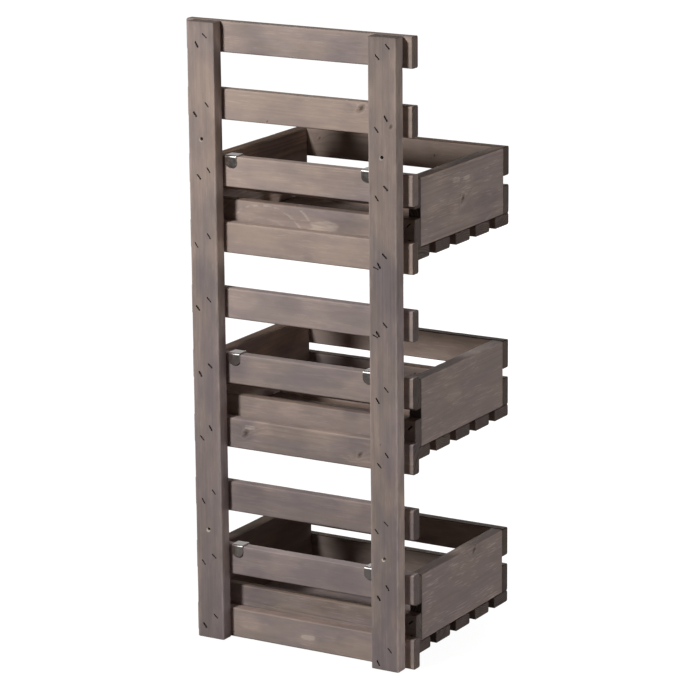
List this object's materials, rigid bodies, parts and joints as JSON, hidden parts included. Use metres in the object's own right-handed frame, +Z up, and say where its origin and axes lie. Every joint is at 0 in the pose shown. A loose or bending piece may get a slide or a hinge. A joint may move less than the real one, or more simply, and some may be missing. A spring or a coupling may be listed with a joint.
{
  "type": "crate shelf",
  "caption": "Tall wall-fixed rack of stained softwood slats on two posts, with open slatted crates that hang from its slats by steel hooks and lift off.",
  "frame": {"origin": "the middle of the four wall screws, on the plane of the wall, which is the plane of the posts' back faces", "axes": "+Y points into the wall and the front faces -Y; +X is on the right of someone facing the front; +Z is up"},
  "size_m": [0.361, 0.3175, 0.9],
  "materials": {
    "stained_wood": "softwood with a thin grey-brown stain, planed, matt, grain and knots showing",
    "hook_steel": "bright zinc-plated strip"
  },
  "bodies": {
    "frame": {"left_post": "stained_wood", "right_post": "stained_wood", "slat_01": "stained_wood", "slat_02": "stained_wood", "slat_03": "stained_wood", "slat_04": "stained_wood", "slat_05": "stained_wood", "slat_06": "stained_wood", "slat_07": "stained_wood", "slat_08": "stained_wood", "slat_09": "stained_wood", "slat_10": "stained_wood"},
    "top_crate": {"top_crate_left_end": "stained_wood", "top_crate_right_end": "stained_wood", "top_crate_upper_back_board": "stained_wood", "top_crate_lower_back_board": "stained_wood", "top_crate_upper_front_board": "stained_wood", "top_crate_lower_front_board": "stained_wood", "top_crate_floor_slat_1": "stained_wood", "top_crate_floor_slat_2": "stained_wood", "top_crate_floor_slat_3": "stained_wood", "top_crate_floor_slat_4": "stained_wood", "top_crate_floor_slat_5": "stained_wood", "top_crate_left_hook": "hook_steel", "top_crate_right_hook": "hook_steel"},
    "middle_crate": {"middle_crate_left_end": "stained_wood", "middle_crate_right_end": "stained_wood", "middle_crate_upper_back_board": "stained_wood", "middle_crate_lower_back_board": "stained_wood", "middle_crate_upper_front_board": "stained_wood", "middle_crate_lower_front_board": "stained_wood", "middle_crate_floor_slat_1": "stained_wood", "middle_crate_floor_slat_2": "stained_wood", "middle_crate_floor_slat_3": "stained_wood", "middle_crate_floor_slat_4": "stained_wood", "middle_crate_floor_slat_5": "stained_wood", "middle_crate_left_hook": "hook_steel", "middle_crate_right_hook": "hook_steel"},
    "bottom_crate": {"bottom_crate_left_end": "stained_wood", "bottom_crate_right_end": "stained_wood", "bottom_crate_upper_back_board": "stained_wood", "bottom_crate_lower_back_board": "stained_wood", "bottom_crate_upper_front_board": "stained_wood", "bottom_crate_lower_front_board": "stained_wood", "bottom_crate_floor_slat_1": "stained_wood", "bottom_crate_floor_slat_2": "stained_wood", "bottom_crate_floor_slat_3": "stained_wood", "bottom_crate_floor_slat_4": "stained_wood", "bottom_crate_floor_slat_5": "stained_wood", "bottom_crate_left_hook": "hook_steel", "bottom_crate_right_hook": "hook_steel"}
  },
  "joints": [
    {"name": "top_crate_lift", "type": "slide", "parent": "frame", "child": "top_crate", "axis": [0, 0, 1], "range_m": [0, 0.045]},
    {"name": "middle_crate_lift", "type": "slide", "parent": "frame", "child": "middle_crate", "axis": [0, 0, 1], "range_m": [0, 0.045]},
    {"name": "bottom_crate_lift", "type": "slide", "parent": "frame", "child": "bottom_crate", "axis": [0, 0, 1], "range_m": [0, 0.045]}
  ]
}
